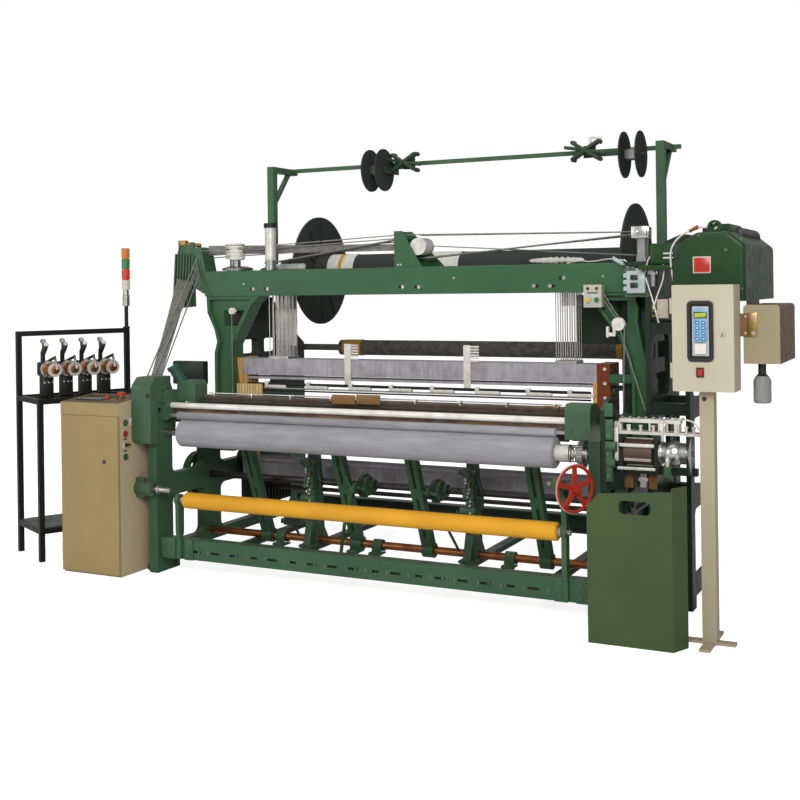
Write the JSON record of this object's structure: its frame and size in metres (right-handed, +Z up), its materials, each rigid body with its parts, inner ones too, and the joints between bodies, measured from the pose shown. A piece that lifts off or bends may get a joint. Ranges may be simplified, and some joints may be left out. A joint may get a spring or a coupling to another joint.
{
  "type": "wire mesh weaving machine",
  "caption": "Wide rapier loom with an overhead heald-lifting arch, sley, take-up and cloth rollers, control cabinet, weft feeder stand and sheet guard.",
  "frame": {"origin": "middle of the whole machine's footprint, on the floor", "axes": "+X along the loom to the right as the weaver sees it, +Y from the weaver's side to the back, +Z up"},
  "size_m": [4.6976, 2.1678, 2.481],
  "materials": {
    "frame_green": "satin",
    "dark_green": "gloss",
    "guard_green": "satin",
    "teal_green": "satin",
    "cabinet_tan": "satin",
    "box_cream": "satin",
    "black_paint": "satin",
    "steel": "machined",
    "dark_steel": "worn",
    "copper_shaft": "rust-brown",
    "heald_aluminium": "satin",
    "guide_wood": "varnished",
    "mesh_cloth": "woven",
    "orange_roll": "satin",
    "red_paint": "worn",
    "red_plastic": "gloss",
    "yellow_plastic": "gloss",
    "green_plastic": "gloss",
    "lamp_plastic": "translucent",
    "grey_plastic": "matte",
    "black_plastic": "matte",
    "grey_cord": "braided"
  },
  "bodies": {
    "frame": {"left_side_frame": "frame_green", "right_side_frame": "frame_green", "front_rail": "frame_green", "base_ties": "frame_green", "centre_supports": "frame_green", "breast_beam": "dark_steel", "breast_brackets": "frame_green", "breast_tube": "steel", "cloth_brackets": "frame_green", "heald_guides": "guide_wood", "left_arch_leg": "dark_green", "right_arch_leg": "dark_green", "arch_beam": "frame_green", "warp_uprights": "dark_green", "spool_gantry": "frame_green", "spool_brackets": "dark_steel", "cord_gable": "frame_green", "left_gearbox": "dark_green", "brake_box": "teal_green", "dobby_stand": "frame_green", "dobby_housing": "dark_green", "control_box": "box_cream", "control_post": "box_cream", "junction_box": "box_cream", "oil_bottle": "grey_plastic", "button_box": "box_cream", "front_guard": "guard_green", "transfer_bracket": "steel", "transfer_rails": "steel", "cabinet": "cabinet_tan", "power_conduit": "black_plastic", "weft_feeders": "dark_steel", "feeder_stand": "black_paint", "signal_lamps": "lamp_plastic", "cord_guides": "steel", "lift_cords": "grey_cord"},
    "sley": {"rocking_shaft": "copper_shaft", "sley_swords": "frame_green", "sley_beam": "dark_steel"},
    "sley_rods": {"connecting_rods": "dark_steel"},
    "crank": {"crank_shaft": "copper_shaft"},
    "warp_beam": {"upper_warp_beam": "black_paint"},
    "back_rest": {"back_rest_roller": "dark_steel"},
    "drum": {"transfer_drum": "dark_steel"},
    "spool_left": {"left_spool": "black_plastic"},
    "spool_right": {"right_spool": "black_plastic"},
    "wheel": {"hand_wheel": "red_paint"},
    "take_up": {"take_up_roller": "mesh_cloth"},
    "press": {"press_roller": "mesh_cloth"},
    "cloth": {"cloth_roll": "orange_roll"},
    "box_door": {"control_box_door": "box_cream"},
    "rocker_switch": {"power_switch": "red_plastic"},
    "cab_door": {"cabinet_door": "cabinet_tan"},
    "mushroom_stop": {"emergency_stop": "red_plastic"},
    "stop_cap": {"stop_button": "yellow_plastic"},
    "start_cap": {"start_button": "green_plastic"},
    "heald_1": {"heald_frame_1": "heald_aluminium"},
    "heald_2": {"heald_frame_2": "heald_aluminium"},
    "heald_3": {"heald_frame_3": "heald_aluminium"},
    "heald_4": {"heald_frame_4": "heald_aluminium"}
  },
  "joints": [
    {"name": "heald_1_lift", "type": "slide", "parent": "frame", "child": "heald_1", "axis": [0, 0, 1], "range_m": [-0.045, 0.045]},
    {"name": "heald_2_lift", "type": "slide", "parent": "frame", "child": "heald_2", "axis": [0, 0, 1], "range_m": [-0.045, 0.045]},
    {"name": "heald_3_lift", "type": "slide", "parent": "frame", "child": "heald_3", "axis": [0, 0, 1], "range_m": [-0.045, 0.045]},
    {"name": "heald_4_lift", "type": "slide", "parent": "frame", "child": "heald_4", "axis": [0, 0, 1], "range_m": [-0.045, 0.045]},
    {"name": "sley_swing", "type": "hinge", "parent": "frame", "child": "sley", "pos_m": [0.20279, -0.284, 0.157], "axis": [1, 0, 0], "range_deg": [-10, 0]},
    {"name": "sley_rod_swing", "type": "hinge", "parent": "sley", "child": "sley_rods", "pos_m": [0.20279, -0.42448, 0.50469], "axis": [1, 0, 0], "range_deg": [0, 0.8]},
    {"name": "crank_turn", "type": "hinge", "parent": "frame", "child": "crank", "pos_m": [0.20279, -0.279, 0.5], "axis": [1, 0, 0], "range_deg": [0, 180]},
    {"name": "take_up_turn", "type": "hinge", "parent": "frame", "child": "take_up", "pos_m": [0.20279, -0.724, 0.812], "axis": [1, 0, 0], "continuous": true},
    {"name": "press_roller_turn", "type": "hinge", "parent": "frame", "child": "press", "pos_m": [0.20279, -0.73107, 0.91305], "axis": [1, 0, 0], "continuous": true},
    {"name": "cloth_roll_turn", "type": "hinge", "parent": "frame", "child": "cloth", "pos_m": [0.20279, -0.796, 0.435], "axis": [1, 0, 0], "continuous": true},
    {"name": "hand_wheel_turn", "type": "hinge", "parent": "frame", "child": "wheel", "pos_m": [1.42579, -0.946, 0.678], "axis": [0.8572, -0.515, 0], "continuous": true},
    {"name": "warp_beam_turn", "type": "hinge", "parent": "frame", "child": "warp_beam", "pos_m": [0.20279, 0.716, 1.767], "axis": [1, 0, 0], "continuous": true},
    {"name": "back_rest_turn", "type": "hinge", "parent": "frame", "child": "back_rest", "pos_m": [0.20279, 0.801, 1.235], "axis": [1, 0, 0], "continuous": true},
    {"name": "transfer_drum_turn", "type": "hinge", "parent": "frame", "child": "drum", "pos_m": [1.62279, -0.744, 0.842], "axis": [1, 0, 0], "continuous": true},
    {"name": "left_spool_turn", "type": "hinge", "parent": "frame", "child": "spool_left", "pos_m": [-0.14321, 0.001, 2.354], "axis": [1, 0, 0], "continuous": true},
    {"name": "right_spool_turn", "type": "hinge", "parent": "frame", "child": "spool_right", "pos_m": [1.42479, 0.001, 2.354], "axis": [1, 0, 0], "continuous": true},
    {"name": "control_box_door_swing", "type": "hinge", "parent": "frame", "child": "box_door", "pos_m": [1.89379, -0.948, 1.156], "axis": [0, 0, 1], "range_deg": [-110, 0]},
    {"name": "power_switch_rock", "type": "hinge", "parent": "box_door", "child": "rocker_switch", "pos_m": [2.02479, -0.95, 1.244], "axis": [1, 0, 0], "range_deg": [-5, 5]},
    {"name": "cabinet_door_swing", "type": "hinge", "parent": "frame", "child": "cab_door", "pos_m": [-1.69721, -1.004, 0.012], "axis": [0, 0, 1], "range_deg": [-110, 0]},
    {"name": "emergency_stop_press", "type": "slide", "parent": "frame", "child": "mushroom_stop", "axis": [0, 0, -1], "range_m": [0, 0.005], "stiffness_N_per_m": 1500, "springref_m": -0.002},
    {"name": "stop_button_press", "type": "slide", "parent": "frame", "child": "stop_cap", "axis": [0, 1, 0], "range_m": [0, 0.005], "stiffness_N_per_m": 800, "springref_m": -0.001},
    {"name": "start_button_press", "type": "slide", "parent": "frame", "child": "start_cap", "axis": [0, 1, 0], "range_m": [0, 0.005], "stiffness_N_per_m": 800, "springref_m": -0.001}
  ],
  "couplings": [
    {"joint": "crank_turn", "follows": "sley_swing", "ratio": -18},
    {"joint": "sley_rod_swing", "follows": "sley_swing", "ratio": -0.076},
    {"joint": "press_roller_turn", "follows": "take_up_turn", "ratio": -3.5909},
    {"joint": "cloth_roll_turn", "follows": "take_up_turn", "ratio": 1.7174},
    {"joint": "hand_wheel_turn", "follows": "take_up_turn", "ratio": 4}
  ]
}
